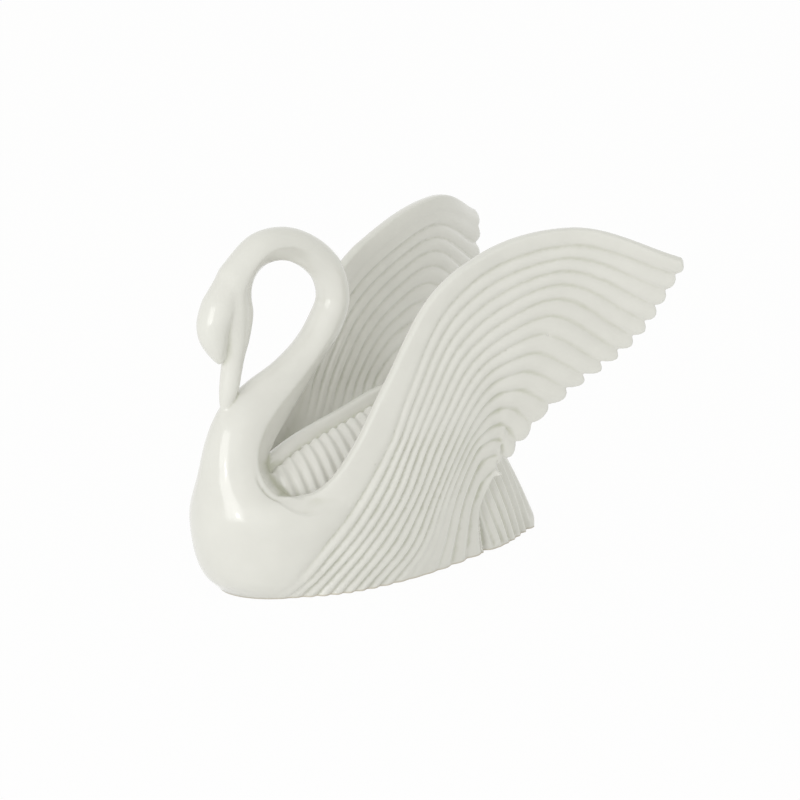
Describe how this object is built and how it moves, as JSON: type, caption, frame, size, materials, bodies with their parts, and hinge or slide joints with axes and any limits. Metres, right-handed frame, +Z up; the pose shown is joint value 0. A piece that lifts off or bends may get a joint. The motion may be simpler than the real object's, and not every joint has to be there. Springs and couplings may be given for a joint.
{
  "type": "swan figurine",
  "caption": "Glazed ceramic swan with a looped neck, bill resting on the breast, and raised fluted wings around a ribbed back.",
  "frame": {"origin": "on the surface the swan stands on, under the middle of its box", "axes": "+Z up; the swan faces -X, so the wing tips are at +X; its right wing is on the +Y side"},
  "size_m": [0.343, 0.2408, 0.255],
  "materials": {
    "cream_glaze": "gloss"
  },
  "bodies": {
    "root": {"swan": "cream_glaze"}
  },
  "joints": []
}
